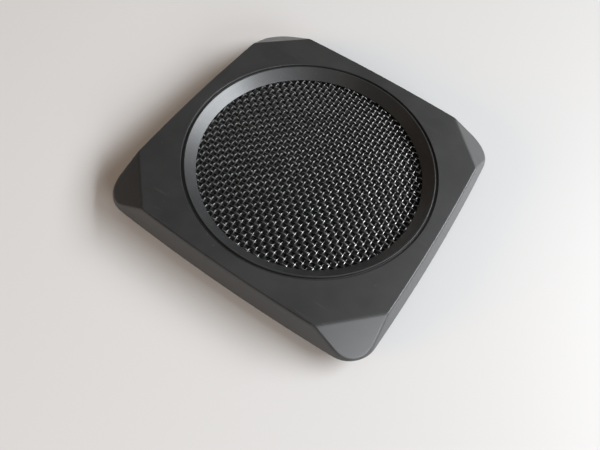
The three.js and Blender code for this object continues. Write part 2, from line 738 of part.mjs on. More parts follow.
function leads() {
  const tagTop = TAG_Z + TAG_SIZE[2] + FIT;
  const negative = wire([
    [-BLADE_X, TAG_Y, tagTop + 0.4],
    [-BLADE_X, TAG_Y - 1.4, tagTop + 0.9],
    [-BLADE_X, TAIL_Y + 0.95, tagTop + 0.5],
    [-BLADE_X, TAIL_Y + 0.75, TAIL_TOP_Z - 0.6],
  ], LEAD_R);
  const positive = wire([
    [BLADE_X, TAG_Y, tagTop + 0.4],
    [BLADE_X + 2.6, TAG_Y - 0.6, tagTop + 0.8],
    [BLADE_X + 8.4, TAG_Y - 0.4, tagTop + 0.6],
    beforeCapacitor(-1, LEG_RUN),
    beforeCapacitor(-1, LEG_GAP),
  ], LEAD_R);
  const capacitor = wire([
    [BLADE_X + 0.3, TAIL_Y - 0.65, TAIL_TOP_Z - 0.5],
    [BLADE_X + 4, TAIL_Y - 1.3, TAIL_TOP_Z - 0.3],
    [BLADE_X + 9.6, TAIL_Y - 0.6, TAIL_TOP_Z - 0.1],
    beforeCapacitor(1, LEG_RUN),
    beforeCapacitor(1, LEG_GAP),
  ], CAPACITOR_LEAD_R);
  return [
    meshOf("negative_lead", solid(negative), blackInsulation),
    meshOf("positive_lead", solid(positive), redInsulation),
    meshOf("capacitor_lead", solid(capacitor), tinnedBrass),
  ];
}

// ---------------------------------------------------------------- assembly

const cover = new THREE.Group();
cover.add(coverBezel(), wireMesh(), acousticCloth(), retainingRing(), ...ringScrews(), ...springClips());

const base = new THREE.Group();
base.add(mountingFrame(), panelGasket(), yokeCup(), magnet(), polePlate(), dampingPad());
base.add(driverFaceplate(), surround(), ...driverScrews(), terminalBoard(), seriesCapacitor(), ...leads());
for (const [side, x] of [["positive", BLADE_X], ["negative", -BLADE_X]]) {
  base.add(terminal(`${side}_terminal`, x), rivet(`${side}_rivet`, x), coilTag(`${side}_coil_tag`, x));
}

const diaphragm = new THREE.Group();
diaphragm.add(domeDiaphragm(), coilFormer(), voiceCoil());

const tweeter = new THREE.Group();
tweeter.add(cover, base, diaphragm);

export default tweeter;
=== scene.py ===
"""Looks of a slim square car tweeter: its moulded cover, woven wire mesh, frame and dome driver.

The builders work in millimetres in the row frame, and make_object() turns them into metres.
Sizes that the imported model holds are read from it; the rest are named below.
"""
import math

import bmesh
import bpy
import numpy as np
from mathutils import Matrix, Vector


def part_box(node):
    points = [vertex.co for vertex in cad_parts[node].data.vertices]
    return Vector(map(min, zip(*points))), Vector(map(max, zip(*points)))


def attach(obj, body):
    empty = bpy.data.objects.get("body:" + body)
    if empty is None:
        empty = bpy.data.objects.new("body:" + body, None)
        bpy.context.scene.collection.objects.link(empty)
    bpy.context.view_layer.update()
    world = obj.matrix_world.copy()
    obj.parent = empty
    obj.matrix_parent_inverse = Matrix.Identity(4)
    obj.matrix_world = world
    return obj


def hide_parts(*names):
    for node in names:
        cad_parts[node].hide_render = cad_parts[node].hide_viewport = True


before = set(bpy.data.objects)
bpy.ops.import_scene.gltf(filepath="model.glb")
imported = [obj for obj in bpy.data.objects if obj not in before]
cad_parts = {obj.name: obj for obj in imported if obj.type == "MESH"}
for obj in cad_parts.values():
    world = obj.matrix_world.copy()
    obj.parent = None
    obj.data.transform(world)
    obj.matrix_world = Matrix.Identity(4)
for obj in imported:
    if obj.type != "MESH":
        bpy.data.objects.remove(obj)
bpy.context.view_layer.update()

MM = 0.001
SHARP_ANGLE = math.radians(32)


def box_mm(node):
    """A CAD node's lowest and highest corner in millimetres."""
    low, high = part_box(node)
    return np.array(low) / MM, np.array(high) / MM


# ------------------------------------------------------------------ sizes

# In names, R is a radius or a distance from the axis, D a distance along a diagonal, and Z a height.

# Cover: a square with bowed sides, drafted outwards towards the panel.
COVER_LOW, COVER_HIGH = box_mm("cover_bezel")
PANEL_Z = float(COVER_LOW[2])
TOP_Z = float(COVER_HIGH[2])
RIM_HALF = float(COVER_HIGH[0])
DRAFT = 2.65
TOP_HALF = RIM_HALF - DRAFT
DRAFT_RATIO = DRAFT / (TOP_Z - PANEL_Z)
SIDE_RADIUS = 706.0
CORNER_RADIUS = 10.0
EDGE_EASE = 1.2
RIDGE_EASE = 0.35
WALL = 1.8
PLATE = 2.0
CEILING = TOP_Z - PLATE

# Corner facets, measured along the diagonal.
FACET_START = 56.8
FACET_SLOPE = math.radians(34)

# Grille recess, ring groove and the collar behind them.
OPENING_R = 39.3
SEAT_Z = 8.9
COLLAR_R = 42.2
COLLAR_OUTER_R = 43.4
COLLAR_Z = 7.7
LIP_R = 42.75
GROOVE_INNER_R = 42.95
GROOVE_OUTER_R = 43.95
GROOVE_DEPTH = 0.9

# Woven wire.
WIRE_R = 0.22
WIRE_CRIMP = 0.32
WIRE_PITCH = 1.85

# Fasteners, clips, frame and driver.
DIAGONALS = (45, 135, 225, 315)
SIDES = (0, 90, 180, 270)
RING_SCREW_D = 47.5
BOSS_R = 2.5
BOSS_END_Z = 7.55
POST_R = 45.9
POST_THICK = 1.2
POST_WIDTH = 5
POST_END_Z = 5.9
RING_BOTTOM_Z = 6.8
RING_INNER_R = 39.7
RING_OUTER_R = 41.8
TAB_HALF = 3
FLANGE_HALF = 47.9
FLANGE_CUT_D = 60.5
FLANGE_BACK_Z = 5.5
FLANGE_TOP_Z = 6.6
BASIN_R = 37.7
PANEL_HOLE_D = 55.5
DRIVER_SCREW_R = 23.6
DRIVER_SCREW_ANGLES = (90, 210, 330)
PILOT_R = 0.95
CLEARANCE_R = 1.15
HUB_Z = 4.6
FLOOR_TOP_Z = 3.4
FLOOR_BACK_Z = 2.2
FIT = 0.05

# Terminals and the capacitor.
BOARD_Y = -28.25
STAKE_X = 7.7
BLADE_X = 4.5
BLADE_TIP_Y = -37.5
RIVET_Y = -26.6
RIVET_HOLE_R = 0.7
TAIL_Y = -30.2
TAG_Y = -26.7
TAG_Z = 4.65
CAPACITOR_SIZE = np.array([5, 8.6, 2.7])
CAPACITOR_R = 31.9
CAPACITOR_ANGLE = 312
CAPACITOR_Z = FLOOR_TOP_Z + FIT + CAPACITOR_SIZE[2] / 2
CAPACITOR_LEG_OFFSET = 1.3
LEG_RUN = 1.8
LEG_SUNK = -0.2


# ------------------------------------------------------------------ mesh helpers


def make_object(name, vertices, faces):
    """A smooth-shaded mesh object from millimetres, with its normals facing out."""
    mesh = bpy.data.meshes.new(name)
    mesh.from_pydata((np.asarray(vertices) * MM).tolist(), [], faces)
    shell = bmesh.new()
    shell.from_mesh(mesh)
    bmesh.ops.remove_doubles(shell, verts=shell.verts, dist=1e-7)
    bmesh.ops.recalc_face_normals(shell, faces=shell.faces)
    shell.to_mesh(mesh)
    shell.free()
    made = bpy.data.objects.new(name, mesh)
    bpy.context.collection.objects.link(made)
    return shade(made)


def shade(made):
    """Smooth shading that stays sharp where faces meet at a steep angle."""
    made.data.shade_smooth()
    made.data.set_sharp_from_angle(angle=SHARP_ANGLE)
    return made


def grid_faces(rows, columns, wrap_rows=False):
    """Quads of a grid of rows x columns vertices; columns always close on themselves."""
    last = rows if wrap_rows else rows - 1
    faces = []
    for row in range(last):
        here, above = row * columns, (row + 1) % rows * columns
        for column in range(columns):
            beside = (column + 1) % columns
            faces.append((here + column, here + beside, above + beside, above + column))
    return faces


def capped_faces(rows, columns, start=0):
    """Faces of a tube of rows x columns vertices, closed at both ends, from a first vertex on."""
    faces = grid_faces(rows, columns)
    faces += [tuple(range(columns)), tuple(range((rows - 1) * columns, rows * columns))]
    return [tuple(start + i for i in face) for face in faces]


def eased(corners, radii, closed=True):
    """A polyline with its corners rounded. Each flat begins just past its corner, so it shades flat."""
    corners = [np.array(c, float) for c in corners]
    count = len(corners)
    path = []
    for i, (corner, radius) in enumerate(zip(corners, np.broadcast_to(radii, count))):
        if radius == 0 or (not closed and i in (0, count - 1)):
            path.append(corner)
            continue
        into, out = corners[i - 1] - corner, corners[(i + 1) % count] - corner
        reach = min(radius, 0.45 * np.linalg.norm(into), 0.45 * np.linalg.norm(out))
        into, out = into / np.linalg.norm(into), out / np.linalg.norm(out)
        path.append(corner + 1.1 * reach * into)
        for t in np.linspace(0, 1, 4):
            path.append(corner + reach * ((1 - t) ** 2 * into + t**2 * out))
        path.append(corner + 1.1 * reach * out)
    return np.array(path)


def ring_rows(profile, angles):
    """Rows of points from [radius, z] corners turned about Z."""
    cos, sin = np.cos(angles), np.sin(angles)
    return np.stack([np.stack([r * cos, r * sin, np.full_like(cos, z)], axis=1) for r, z in profile])


def around(segments):
    return np.linspace(0, 2 * math.pi, segments, endpoint=False)


def lathe(name, corners, radius=0.1, segments=96):
    """A closed profile of [radius, z] corners turned about Z, with its corners rounded off the axis."""
    radii = [0 if r == 0 else radius for r, z in corners]
    on_axis = any(r == 0 for r, z in corners)
    rows = ring_rows(eased(corners, radii), around(segments))
    return make_object(name, rows.reshape(-1, 3), grid_faces(len(rows), segments, not on_axis))


def inset(outline, distance):
    """An anticlockwise outline moved inwards by a distance."""
    before, after = np.roll(outline, 1, axis=0), np.roll(outline, -1, axis=0)
    first, second = outline - before, after - outline
    first /= np.linalg.norm(first, axis=1)[:, None]
    second /= np.linalg.norm(second, axis=1)[:, None]
    middle = np.stack([-(first + second)[:, 1], (first + second)[:, 0]], axis=1)
    middle /= np.linalg.norm(middle, axis=1)[:, None]
    across = np.stack([-second[:, 1], second[:, 0]], axis=1)
    return outline + distance * middle / np.sum(middle * across, axis=1)[:, None]


def block(name, outline, low, high, edge=0.12):
    """An upright block from an anticlockwise outline, with rounded edges and flats that shade flat."""
    outline = np.array(outline, float)
    rows = [(inset(outline, edge + 0.02), low)]
    for turn in np.linspace(0, math.pi / 2, 3):
        rows.append((inset(outline, edge * (1 - math.sin(turn))), low + edge * (1 - math.cos(turn))))
    rows += [(points, low + high - z) for points, z in reversed(rows)]
    count = len(outline)
    vertices = np.concatenate([np.column_stack([points, np.full(count, z)]) for points, z in rows])
    return make_object(name, vertices, capped_faces(len(rows), count))


def arc(x, y, radius, start, end, steps=8):
    """Points along an arc, its angles in degrees."""
    angles = np.radians(np.linspace(start, end, steps + 1))
    return [(x + radius * math.cos(a), y + radius * math.sin(a)) for a in angles]


def rectangle(width, depth, corner=0.15):
    """An anticlockwise outline centred on the origin, with rounded corners."""
    x, y = width / 2 - corner, depth / 2 - corner
    quarters = ((x, y, 0), (-x, y, 90), (-x, -y, 180), (x, -y, 270))
    return [point for cx, cy, start in quarters for point in arc(cx, cy, corner, start, start + 90, 4)]


def bar(name, size, centre, edge=0.12, corner=0.15):
    """A rectangular block with rounded edges, from its size and its centre."""
    half = size[2] / 2
    made = block(name, rectangle(size[0], size[1], corner), -half, half, edge)
    return moved(made, centre)


def moved(made, by, turn=0.0, tilt=0.0):
    """Tilts a piece about X, turns it about Z in degrees, and moves it in millimetres."""
    tilted = Matrix.Rotation(math.radians(turn), 4, "Z") @ Matrix.Rotation(math.radians(tilt), 4, "X")
    made.data.transform(Matrix.Translation(Vector(by) * MM) @ tilted)
    return made


def turned(made, angle):
    """Turns a piece about the object's own axis, in degrees."""
    made.data.transform(Matrix.Rotation(math.radians(angle), 4, "Z"))
    return made


def polar(radius, angle):
    return radius * math.cos(math.radians(angle)), radius * math.sin(math.radians(angle))


def pillar(radius, low, high):
    """Profile corners of a solid round pillar."""
    return [(0, low), (radius, low), (radius, high), (0, high)]


def standing(name, corners, distance, angle, radius=0.15, segments=40):
    """A turned piece that stands at a distance from the axis, in the direction of an angle."""
    return moved(lathe(name, corners, radius, segments), (*polar(distance, angle), 0))


def hole(x, y, radius, low, high, flare=0.2, segments=32):
    """A tool that bores a round hole from low to high and breaks its two edges."""
    corners = [
        (0, low - 1),
        (radius + flare + 1, low - 1),
        (radius, low + flare),
        (radius, high - flare),
        (radius + flare + 1, high + 1),
        (0, high + 1),
    ]
    return moved(lathe("tool", corners, 0, segments), (x, y, 0))


def carve(body, tools, operation="DIFFERENCE"):
    """Cuts the tools out of a piece, or joins them to it, and removes them."""
    for tool in tools:
        cut = body.modifiers.new("carve", "BOOLEAN")
        cut.operation = operation
        cut.solver = "MANIFOLD"
        cut.object = tool
    graph = bpy.context.evaluated_depsgraph_get()
    mesh = bpy.data.meshes.new_from_object(body.evaluated_get(graph))
    body.modifiers.clear()
    body.data = mesh
    for tool in tools:
        bpy.data.objects.remove(tool)
    return shade(body)


def join(body, parts):
    return carve(body, parts, "UNION")


def smooth_path(points, per_span):
    """A Catmull-Rom curve through the points."""
    points = np.array(points, float)
    points = np.concatenate([[2 * points[0] - points[1]], points, [2 * points[-1] - points[-2]]])
    path = []
    for a, b, c, d in zip(points, points[1:], points[2:], points[3:]):
        square = 2 * a - 5 * b + 4 * c - d
        cube = 3 * b - a - 3 * c + d
        for t in np.arange(per_span) / per_span:
            path.append(0.5 * (2 * b + (c - a) * t + square * t**2 + cube * t**3))
    return np.array(path + [points[-2]])


def sweep(name, path, section, side=None):
    """A section of [across, up] points carried along a path. side is the section's fixed across direction."""
    path = np.array(path, float)
    along = np.gradient(path, axis=0)
    along /= np.linalg.norm(along, axis=1)[:, None]
    if side is None:
        across = np.cross(along, (0, 0, 1))
    else:
        across = np.broadcast_to(np.array(side, float), path.shape)
    across = across / np.linalg.norm(across, axis=1)[:, None]
    up = np.cross(across, along)
    section = np.array(section)
    rows = path[:, None] + section[None, :, :1] * across[:, None] + section[None, :, 1:] * up[:, None]
    return make_object(name, rows.reshape(-1, 3), capped_faces(len(path), len(section)))


def circle(radius, count=14):
    return [(radius * math.cos(a), radius * math.sin(a)) for a in around(count)]


# ------------------------------------------------------------------ cover


def smooth_min(a, b, width):
    """The lower of two heights, eased together where they differ by less than width."""
    ease = np.clip(1 - np.abs(a - b) / width, 0, None)
    return np.minimum(a, b) - 0.25 * width * ease**2


def outline_distance(x, y):
    """Signed distance to the rim's outline, a square with bowed sides; below zero inside."""
    x, y = np.maximum(abs(x), abs(y)), np.minimum(abs(x), abs(y))
    side = RIM_HALF - SIDE_RADIUS
    reach = SIDE_RADIUS - CORNER_RADIUS
    corner = (math.sqrt(2 * reach**2 - side**2) + side) / 2
    sweep_angle = math.atan2(corner, corner - side)
    to_side = np.hypot(x - side, y) - SIDE_RADIUS
    to_corner = np.hypot(x - corner, y - corner) - CORNER_RADIUS
    return np.where(np.arctan2(y, x - side) < sweep_angle, to_side, to_corner)


def cover_height(x, y, inset_by=0.0, drop=0.0, edge=EDGE_EASE):
    """Height of the cover's outside, or of its inside when inset and lowered."""
    wall = PANEL_Z - (outline_distance(x, y) + inset_by) / DRAFT_RATIO
    along = (abs(x) + abs(y)) / math.sqrt(2)
    facet = TOP_Z - math.tan(FACET_SLOPE) * (along - FACET_START) - inset_by / math.cos(FACET_SLOPE)
    return smooth_min(smooth_min(TOP_Z - drop, facet, RIDGE_EASE), wall, edge)


def height_rows(start_r, count, angles, **shape):
    """Rows of points from a circle out to the rim plane, crowded where the surface bends."""
    span = np.linspace(0, 1, 900)
    far = 1.5 * RIM_HALF
    rays = []
    for angle in angles:
        cos, sin = math.cos(angle), math.sin(angle)
        radii = start_r + span * (far - start_r)
        heights = cover_height(radii * cos, radii * sin, **shape)
        end = np.argmax(heights < PANEL_Z)
        share = (heights[end - 1] - PANEL_Z) / (heights[end - 1] - heights[end])
        rim = radii[end - 1] + share * (radii[end] - radii[end - 1])
        radii = start_r + span * (rim - start_r)
        heights = cover_height(radii * cos, radii * sin, **shape)
        heights[-1] = PANEL_Z
        slope = np.arctan2(np.diff(heights), np.diff(radii))
        length = np.hypot(np.diff(heights), np.diff(radii))
        turning = np.abs(np.diff(slope, prepend=slope[0]))
        weight = length / length.sum() + 1.2 * turning / turning.sum()
        travelled = np.concatenate([[0], np.cumsum(weight)])
        stops = np.linspace(0, travelled[-1], count)
        r = np.interp(stops, travelled, radii)
        rays.append(np.stack([r * cos, r * sin, np.interp(stops, travelled, heights)], axis=1))
    return np.stack(rays, axis=1)


def cover_bezel():
    """Drafted shell with faceted corners, round a funnel with a ring groove at its mouth."""
    angles = around(720)
    lip_z = TOP_Z - 0.04
    groove_z = TOP_Z - GROOVE_DEPTH
    funnel = eased(
        [
            (OPENING_R, SEAT_Z),
            (OPENING_R, SEAT_Z + 0.15),
            (LIP_R - 0.1, SEAT_Z + 0.05 + LIP_R - OPENING_R),
            (LIP_R, lip_z),
            (GROOVE_INNER_R, lip_z),
            (GROOVE_INNER_R + 0.15, groove_z),
            (GROOVE_OUTER_R - 0.15, groove_z),
            (GROOVE_OUTER_R, TOP_Z),
            (GROOVE_OUTER_R + 0.6, TOP_Z),
        ],
        (0, 0.1, 0.12, 0.1, 0.1, 0.2, 0.2, 0.12, 0),
        closed=False,
    )
    outside = height_rows(GROOVE_OUTER_R + 0.8, 60, angles)
    inside = height_rows(COLLAR_OUTER_R, 26, angles, inset_by=WALL, drop=PLATE, edge=1.0)[::-1]
    collar = [(COLLAR_OUTER_R, COLLAR_Z), (COLLAR_R, COLLAR_Z), (COLLAR_R, SEAT_Z)]
    rows = np.concatenate([ring_rows(funnel, angles), outside, inside, ring_rows(collar, angles)])
    body = make_object("cover_bezel_moulding", rows.reshape(-1, 3), grid_faces(len(rows), len(angles), True))
    root_z = CEILING + 0.5
    post_size = (POST_THICK, POST_WIDTH, root_z - POST_END_Z)
    post_middle = (POST_R, 0, (root_z + POST_END_Z) / 2)
    parts = [standing("boss", pillar(BOSS_R, BOSS_END_Z, root_z), RING_SCREW_D, a) for a in DIAGONALS]
    parts += [turned(bar("post", post_size, post_middle), a) for a in SIDES]
    join(body, parts)
    screw_places = [polar(RING_SCREW_D, a) for a in DIAGONALS]
    return carve(body, [blind_hole(x, y, PILOT_R, BOSS_END_Z, CEILING + 0.4) for x, y in screw_places])


def blind_hole(x, y, radius, mouth_z, end_z, flare=0.2):
    """A tool that bores a blind hole from its mouth to its end, with a broken edge at the mouth."""
    way = math.copysign(1, end_z - mouth_z)
    corners = [
        (0, mouth_z - way),
        (radius + flare + 1, mouth_z - way),
        (radius, mouth_z + way * flare),
        (radius, end_z),
        (0, end_z),
    ]
    return moved(lathe("tool", corners, 0, 32), (x, y, 0))


def woven_wires():
    """Plain-woven wire cloth cut to a disc: each wire rides over and under the ones it crosses."""
    middle = SEAT_Z - WIRE_R - WIRE_CRIMP
    reach = float(box_mm("wire_mesh")[1][0]) - WIRE_R
    per_cell = 6
    section = np.array(circle(WIRE_R, 8))
    drift = np.random.default_rng(7)
    count = int(reach / WIRE_PITCH)
    vertices, faces = [], []
    for family, turn in ((0, math.radians(4.0)), (1, math.radians(92.5))):
        along = np.array([math.cos(turn), math.sin(turn), 0])
        across = np.array([-along[1], along[0], 0])
        for number in range(-count, count + 1):
            offset = number * WIRE_PITCH
            half = math.sqrt(max(reach**2 - offset**2, 0))
            if half < 2 * WIRE_PITCH:
                continue
            steps = int(2 * half / WIRE_PITCH * per_cell)
            s = np.linspace(-half, half, steps + 1)
            wander = 0.03 * drift.standard_normal() + 0.03 * np.sin(s / 17 + 6 * drift.random())
            phase = math.pi * (s / WIRE_PITCH + number + family)
            height = middle + WIRE_CRIMP * (np.cos(phase) - 0.08 * np.cos(3 * phase)) / 0.92
            centre = s[:, None] * along + (offset + wander)[:, None] * across
            centre[:, 2] = height
            ring = section[:, :1] * across + section[:, 1:] * np.array([0, 0, 1])
            faces.extend(capped_faces(steps + 1, len(section), len(vertices)))
            vertices.extend((centre[:, None] + ring[None]).reshape(-1, 3))
    return make_object("woven_wire_mesh", vertices, faces)


def scrim():
    """Acoustic cloth: a thin disc stretched flat behind the mesh."""
    low, high = box_mm("acoustic_cloth")
    r = float(high[0])
    steps = np.linspace(0, r, 30)
    corners = [(x, low[2]) for x in steps] + [(x, high[2]) for x in reversed(steps)]
    return lathe("acoustic_cloth_disc", corners, 0, 120)


def retaining_ring():
    """Stamped ring with a stiffening bead and four screw tabs."""
    low, high = (float(corner[2]) for corner in box_mm("mesh_retaining_ring"))
    bead = 0.12
    middle = (RING_INNER_R + RING_OUTER_R) / 2
    corners = [
        (RING_INNER_R, low),
        (middle - 0.4, low),
        (middle, low + bead),
        (middle + 0.4, low),
        (RING_OUTER_R, low),
        (RING_OUTER_R, high),
        (RING_INNER_R, high),
    ]
    body = lathe("mesh_retaining_ring_stamping", corners, 0.12, 144)
    root, tip, half = middle - 0.15, RING_SCREW_D, TAB_HALF
    outline = [(root, -half), (tip, -half), *arc(tip, 0, half, -88, 88, 14), (tip, half), (root, half)]
    join(body, [turned(block("tab", outline, low, high, 0.1), angle) for angle in DIAGONALS])
    return carve(body, [hole(*polar(RING_SCREW_D, a), CLEARANCE_R, low, high, 0.12) for a in DIAGONALS])


def spring_clip(name, angle):
    """A strip bent round the end of a post, with a bowed leg on each face of it."""
    low, high = box_mm("spring_clip_1")
    strip, width, leg, bulge, bend, bow_half = 0.3, 4, 0.83, 0.38, 0.35, 1.1
    bottom, top = float(low[2]) + strip / 2, float(high[2])
    crown = top - bow_half
    up = []
    for z in np.linspace(bottom + bend, top, 28):
        bow = math.cos(math.pi / 2 * min(abs(z - crown) / bow_half, 1)) ** 2
        up.append((leg + bulge * bow, z))
    turns = np.linspace(0, math.pi / 2, 7)
    corner = [(leg - bend + bend * math.sin(a), bottom + bend - bend * math.cos(a)) for a in turns]
    right = corner + up[1:]
    profile = [(-x, z) for x, z in reversed(right)] + right
    path = [(POST_R + x, 0, z) for x, z in profile]
    return turned(sweep(name, path, rectangle(width, strip, 0.1), side=(0, 1, 0)), angle)


def screw(name, length, at, upside_down=False):
    """A pan-head self-tapping screw with a cross recess; its head bears on z = 0 and the core points up."""
    head_r, head_height, root, crest, pitch = 1.9, 0.8, 0.82, 1.05, 0.9
    segments = 36
    angles = around(segments)
    shoulder = [(0.75 * head_r, -head_height), (head_r, -0.4 * head_height)]
    head = [(0, -head_height), *shoulder, (head_r, 0), (root, 0)]
    rows = [ring_rows(eased(head, (0, 0.3, 0.3, 0.08, 0), closed=False), angles)]
    for z in np.linspace(0.05, length, 60):
        tip = min((length - z) / 0.6, 1)
        phase = (z / pitch - angles / (2 * math.pi)) % 1
        ridge = np.clip(1 - np.abs(phase - 0.5) / 0.3, 0, 1)
        r = (root + (crest - root) * ridge * min(z / 0.4, 1)) * max(tip, 0.05) ** 0.6
        rows.append(np.stack([r * np.cos(angles), r * np.sin(angles), np.full(segments, z)], axis=1)[None])
    rows.append(ring_rows([(0, length)], angles))
    rows = np.concatenate(rows)
    made = make_object(name, rows.reshape(-1, 3), grid_faces(len(rows), segments))
    slots = []
    for quarter in (0, 90):
        slot = block("slot", rectangle(2.0, 0.5, 0.1), -head_height - 0.5, -head_height + 0.45, 0.15)
        slots.append(turned(slot, quarter + 20))
    carve(made, slots)
    return moved(made, at, tilt=180 if upside_down else 0)


# ------------------------------------------------------------------ mounting frame


def flange_outline():
    """Square with cut corners, each bend slightly rounded."""
    half, cut = FLANGE_HALF, FLANGE_CUT_D * math.sqrt(2) - FLANGE_HALF
    corners = [
        (half * cos - y * sin, half * sin + y * cos)
        for cos, sin in ((1, 0), (0, 1), (-1, 0), (0, -1))
        for y in (-cut, cut)
    ]
    return eased(corners, 1.2)


def mounting_frame():
    """Flat flange round a shallow ribbed basin, with clip bridges, panel pads and driver bosses."""
    hole_r, wall, boss_low, pin_mark_r = 15.2, 1.2, 0.9, 32.2
    bridge_size, slot_size, tail_slot_size = (4, 8.8, 3.2), (2.9, 6.4, 8), (13, 2.2, 4)
    rib_size, rib_middle = (19.5, 1, 1.2), (25.95, 0, 1.8)
    stake = [(0, 0.65), (1.1, 0.7), (1.3, 1.1), (0.7, 1.12), (0.7, 2.7), (0, 2.7)]
    body = block("mounting_frame_moulding", flange_outline(), FLANGE_BACK_Z, FLANGE_TOP_Z, 0.2)
    carve(body, [lathe("well", pillar(BASIN_R - wall / 2, 4, 8), 0, 144)])
    basin = [
        (hole_r, FLOOR_BACK_Z),
        (BASIN_R, FLOOR_BACK_Z),
        (BASIN_R, FLANGE_TOP_Z),
        (BASIN_R - wall, FLANGE_TOP_Z),
        (BASIN_R - wall, FLOOR_TOP_Z),
        (hole_r, FLOOR_TOP_Z),
    ]
    parts = [lathe("basin", basin, 0.4, 144)]
    for angle in SIDES:
        parts.append(turned(bar("bridge", bridge_size, (POST_R, 0, 7.2), 0.25, 0.4), angle))
    for angle in DIAGONALS:
        parts.append(standing("pad", pillar(4, PANEL_Z, FLANGE_TOP_Z - 0.3), PANEL_HOLE_D, angle, 0.12, 48))
    for angle in (0, 30, 60, 120, 150, 180, 240, 300):
        parts.append(turned(bar("rib", rib_size, rib_middle, 0.15, 0.2), angle))
    for angle in DRIVER_SCREW_ANGLES:
        parts.append(standing("boss", pillar(2.4, boss_low, FLOOR_TOP_Z - 0.3), DRIVER_SCREW_R, angle))
    for side in (-1, 1):
        parts.append(moved(lathe("stake", stake, 0.15, 28), (STAKE_X * side, BOARD_Y, 0)))
    join(body, parts)
    tools = [hole(*polar(PANEL_HOLE_D, a), 2, PANEL_Z, FLANGE_TOP_Z, 0.2, 40) for a in DIAGONALS]
    tools += [hole(*polar(RING_SCREW_D, a), 3.75, FLANGE_BACK_Z, FLANGE_TOP_Z, 0.15, 48) for a in DIAGONALS]
    tools += [hole(*polar(DRIVER_SCREW_R, a), PILOT_R, boss_low, FLOOR_TOP_Z) for a in DRIVER_SCREW_ANGLES]
    for angle in SIDES:
        tools.append(turned(bar("slot", slot_size, (POST_R, 0, 7), 0.1, 0.3), angle))
    tools.append(bar("tail_slot", tail_slot_size, (0, TAIL_Y, FLOOR_BACK_Z), 0.1, 0.4))
    for angle in range(60, 420, 60):
        tools.append(standing("pin_mark", pillar(2, FLOOR_TOP_Z - 0.12, 5), pin_mark_r, angle, 0.05, 32))
    return carve(body, tools)


def panel_gasket():
    """Die-cut foam ring, its edges slightly crushed."""
    low, high = (float(corner[2]) for corner in box_mm("panel_gasket"))
    inner, outer = 38.3, 43.2
    return lathe("panel_gasket_foam", [(inner, low), (outer, low), (outer, high), (inner, high)], 0.16, 160)


# ------------------------------------------------------------------ dome driver


def yoke():
    """Pressed steel cup with a chamfered back edge."""
    inner, outer, height, floor, chamfer = 11, 13.2, 3.9, 1.2, 0.4
    outside = [(0, 0), (outer - chamfer, 0), (outer, chamfer), (outer, height)]
    return lathe("yoke_cup_stamping", [*outside, (inner, height), (inner, floor), (0, floor)], 0.12, 128)


def disc(name, node, radius=0.15):
    """A round plate the size of a CAD node."""
    low, high = box_mm(node)
    return lathe(name, pillar(float(high[0]), low[2], high[2]), radius, 112)


def faceplate():
    """Moulded plate that grips the yoke, holds the surround and flares out to a raised rim."""
    mouth, cup, hub, rim_r, rim_z, seat = 11.4, 13.25, 14.5, 27.5, 6.1, FLOOR_TOP_Z + FIT
    flare = [(26.0 - 11.4 * t, rim_z - 0.15 - 1.15 * t**0.8) for t in np.linspace(0, 1, 9)]
    corners = [
        (mouth, 3.95),
        (cup, 3.95),
        (cup, 2.3),
        (hub, 2.3),
        (hub, seat),
        (rim_r, seat),
        (rim_r, rim_z),
        (26.3, rim_z),
        *flare,
        (hub + 0.1, HUB_Z),
        (mouth, HUB_Z),
    ]
    body = lathe("driver_faceplate_moulding", corners, 0.15, 144)
    tools = []
    for angle in DRIVER_SCREW_ANGLES:
        tools.append(standing("pocket", pillar(2.3, HUB_Z, 9), DRIVER_SCREW_R, angle, 0.1))
        tools.append(hole(*polar(DRIVER_SCREW_R, angle), CLEARANCE_R, 3, HUB_Z, 0.1))
    tools.append(bar("notch", (14, 5, 4), (0, -rim_r, HUB_Z + 2), 0.2, 0.5))
    return carve(body, tools)


def dome():
    """Woven dome cap on a short skirt, with a hem that covers the former's end."""
    low, high = box_mm("dome_diaphragm")
    base, top = float(low[2]), float(high[2])
    skin, r, skirt = 0.22, 10.2, 0.25
    height = top - base - skirt
    ball = (r**2 + height**2) / (2 * height)
    span = np.linspace(0, r, 26)
    over = [(x, top - ball + math.sqrt(ball**2 - x**2)) for x in span]
    under = [(x * (1 - skin / r), z - skin) for x, z in over]
    hem = [(r - skin, base), (r + 0.2, base), (r + 0.2, base + skin), (r, base + skin + 0.03)]
    return lathe("dome_diaphragm_cap", [*under, *hem, *reversed(over)], 0, 112)


def surround():
    """Half-roll with a flat hem glued to the faceplate."""
    inner, outer, roll, skin, base = 10.45, 14.45, 1.15, 0.25, HUB_Z + FIT
    centre = inner + roll + skin
    arcs = np.linspace(0, math.pi, 17)
    over = [(centre + (roll + skin) * math.cos(a), base + (roll + skin) * math.sin(a)) for a in arcs]
    under = [(centre + roll * math.cos(a), base + roll * math.sin(a)) for a in reversed(arcs)]
    hem = [(outer, base), (outer, base + skin), (centre + roll + skin, base + skin)]
    return lathe("surround_roll", under + hem + over[2:], 0, 112)


def former():
    inner, outer, low, high = 9.95, 10.12, 2.3, 4.65
    return lathe("coil_former_tube", [(inner, low), (outer, low), (outer, high), (inner, high)], 0.03, 112)


def winding():
    """The wound wire as one ring, with a ridge for each turn of its outer layer."""
    inner, outer, low, turns = 10.17, 10.65, 2.5, 12
    wire_r = 0.8 / turns
    corners = [(inner, low)]
    for number in range(turns):
        middle = low + (2 * number + 1) * wire_r
        for a in np.radians((-75, -40, 0, 40, 75)):
            corners.append((outer - wire_r + wire_r * math.cos(a), middle + wire_r * math.sin(a)))
    corners.append((inner, low + 2 * turns * wire_r))
    return lathe("voice_coil_winding", corners, 0, 96)


# ------------------------------------------------------------------ terminals and wiring


